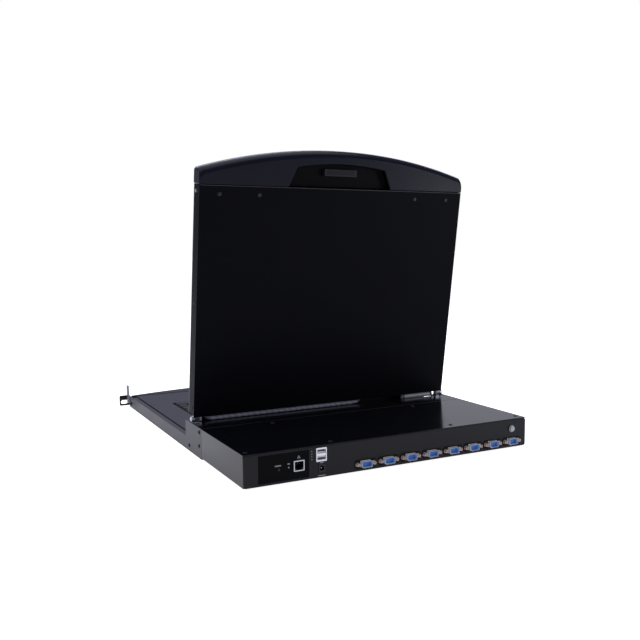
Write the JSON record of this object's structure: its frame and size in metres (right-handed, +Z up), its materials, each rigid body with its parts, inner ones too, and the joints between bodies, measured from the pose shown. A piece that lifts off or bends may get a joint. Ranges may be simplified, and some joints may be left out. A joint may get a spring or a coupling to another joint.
{
  "type": "rack console kvm switch",
  "caption": "Rack-mount KVM switch console: rear port module with a sliding keyboard and touchpad drawer and a hinged flip-up display.",
  "frame": {"origin": "middle of the underside of the whole part in the open pose it is stored in, with the drawer in and the lid leaning back", "axes": "+Z up, +Y towards the connectors at the rear, +X to the right of a person who faces the screen"},
  "size_m": [0.4826, 0.6154, 0.4386],
  "materials": {
    "black_steel": "fine satin powder coat",
    "dark_plastic": "fine moulded texture",
    "deck_plastic": "satin moulded plastic",
    "key_plastic": "satin key caps",
    "zinc": "bright zinc plate",
    "nickel": "bright plated shell",
    "port_blue": "moulded blue insert",
    "screen_glass": "dark glossy panel",
    "cable_sleeve": "spiral-wrapped dark grey sleeve",
    "circuit": "solder-masked board"
  },
  "bodies": {
    "housing": {"side_rail_right": "black_steel", "side_rail_left": "black_steel", "ear_right": "black_steel", "ear_left": "black_steel", "lid_guide_right": "zinc", "lid_guide_left": "zinc", "rear_bridge": "black_steel", "slide_outer_right": "zinc", "slide_outer_left": "zinc", "module_base": "black_steel", "module_cover": "black_steel", "rear_panel": "black_steel", "main_board": "circuit", "video_port_1": "port_blue", "video_port_2": "port_blue", "video_port_3": "port_blue", "video_port_4": "port_blue", "video_port_5": "port_blue", "video_port_6": "port_blue", "video_port_7": "port_blue", "video_port_8": "port_blue", "lan_plate": "black_steel", "lan_jack": "nickel", "usb_stack": "nickel", "dc_jack": "dark_plastic", "ground_screw": "nickel"},
    "drawer": {"tray": "black_steel", "front_bezel": "dark_plastic", "palm_rest": "deck_plastic", "keyboard_deck": "deck_plastic", "keyboard_base": "black_steel", "touchpad": "dark_plastic", "slide_inner_right": "zinc", "slide_inner_left": "zinc", "hinge_bracket_right": "black_steel", "hinge_bracket_left": "black_steel"},
    "lid": {"lid_back": "black_steel", "lid_handle": "dark_plastic", "lid_bezel": "dark_plastic", "display_panel": "screen_glass", "hinge_arm_right": "zinc", "hinge_arm_left": "zinc", "hinge_tube": "nickel", "cable_harness": "cable_sleeve"},
    "slide_middle_right": {"slide_middle_right": "zinc"},
    "slide_middle_left": {"slide_middle_left": "zinc"},
    "reset_button": {"reset_button": "dark_plastic"},
    "touch_button_right": {"touch_button_right": "dark_plastic"},
    "touch_button_left": {"touch_button_left": "dark_plastic"},
    "osd_keys": {"osd_keys": "dark_plastic"},
    "power_button": {"power_button": "dark_plastic"},
    "latch_slider": {"latch_slider": "zinc"},
    "latch_pin_right": {"latch_pin_right": "zinc"},
    "latch_pin_left": {"latch_pin_left": "zinc"},
    "key_row_1": {"key_row_1": "key_plastic"},
    "key_row_2": {"key_row_2": "key_plastic"},
    "key_row_3": {"key_row_3": "key_plastic"},
    "key_row_4": {"key_row_4": "key_plastic"},
    "key_row_5": {"key_row_5": "key_plastic"},
    "key_row_6": {"key_row_6": "key_plastic"}
  },
  "joints": [
    {"name": "drawer_slide", "type": "slide", "parent": "housing", "child": "drawer", "axis": [0, -1, 0], "range_m": [0, 0.4]},
    {"name": "middle_slide_right", "type": "slide", "parent": "housing", "child": "slide_middle_right", "axis": [0, -1, 0], "range_m": [0, 0.2]},
    {"name": "middle_slide_left", "type": "slide", "parent": "housing", "child": "slide_middle_left", "axis": [0, -1, 0], "range_m": [0, 0.2]},
    {"name": "lid_hinge", "type": "hinge", "parent": "drawer", "child": "lid", "pos_m": [0, 0.09255, 0.0395], "axis": [1, 0, 0], "range_deg": [-12, 98.2]},
    {"name": "reset_press", "type": "slide", "parent": "housing", "child": "reset_button", "axis": [0, -1, 0], "range_m": [0, 0.0008], "stiffness_N_per_m": 800, "springref_m": -0.0003},
    {"name": "key_row_1_press", "type": "slide", "parent": "drawer", "child": "key_row_1", "axis": [0, 0, -1], "range_m": [0, 0.002], "stiffness_N_per_m": 1500, "springref_m": -0.0005},
    {"name": "key_row_2_press", "type": "slide", "parent": "drawer", "child": "key_row_2", "axis": [0, 0, -1], "range_m": [0, 0.002], "stiffness_N_per_m": 1500, "springref_m": -0.0005},
    {"name": "key_row_3_press", "type": "slide", "parent": "drawer", "child": "key_row_3", "axis": [0, 0, -1], "range_m": [0, 0.002], "stiffness_N_per_m": 1500, "springref_m": -0.0005},
    {"name": "key_row_4_press", "type": "slide", "parent": "drawer", "child": "key_row_4", "axis": [0, 0, -1], "range_m": [0, 0.002], "stiffness_N_per_m": 1500, "springref_m": -0.0005},
    {"name": "key_row_5_press", "type": "slide", "parent": "drawer", "child": "key_row_5", "axis": [0, 0, -1], "range_m": [0, 0.002], "stiffness_N_per_m": 1500, "springref_m": -0.0005},
    {"name": "key_row_6_press", "type": "slide", "parent": "drawer", "child": "key_row_6", "axis": [0, 0, -1], "range_m": [0, 0.002], "stiffness_N_per_m": 1500, "springref_m": -0.0005},
    {"name": "touch_button_right_press", "type": "slide", "parent": "drawer", "child": "touch_button_right", "axis": [0, 0, -1], "range_m": [0, 0.0008], "stiffness_N_per_m": 1200, "springref_m": -0.0003},
    {"name": "touch_button_left_press", "type": "slide", "parent": "drawer", "child": "touch_button_left", "axis": [0, 0, -1], "range_m": [0, 0.0008], "stiffness_N_per_m": 1200, "springref_m": -0.0003},
    {"name": "osd_press", "type": "slide", "parent": "lid", "child": "osd_keys", "axis": [0, 0.9898, -0.1426], "range_m": [0, 0.0008], "stiffness_N_per_m": 1000, "springref_m": -0.0003},
    {"name": "power_press", "type": "slide", "parent": "lid", "child": "power_button", "axis": [0, 0.9898, -0.1426], "range_m": [0, 0.001], "stiffness_N_per_m": 1000, "springref_m": -0.0003},
    {"name": "latch_slide", "type": "slide", "parent": "lid", "child": "latch_slider", "axis": [0, -0.1426, -0.9898], "range_m": [0, 0.005], "stiffness_N_per_m": 600, "springref_m": -0.004},
    {"name": "latch_pin_right_slide", "type": "slide", "parent": "lid", "child": "latch_pin_right", "axis": [-1, 0, 0], "range_m": [0, 0.004]},
    {"name": "latch_pin_left_slide", "type": "slide", "parent": "lid", "child": "latch_pin_left", "axis": [1, 0, 0], "range_m": [0, 0.004]}
  ],
  "couplings": [
    {"joint": "middle_slide_right", "follows": "drawer_slide", "ratio": 0.5},
    {"joint": "middle_slide_left", "follows": "drawer_slide", "ratio": 0.5},
    {"joint": "latch_pin_right_slide", "follows": "latch_slide", "ratio": 0.8},
    {"joint": "latch_pin_left_slide", "follows": "latch_slide", "ratio": 0.8}
  ]
}
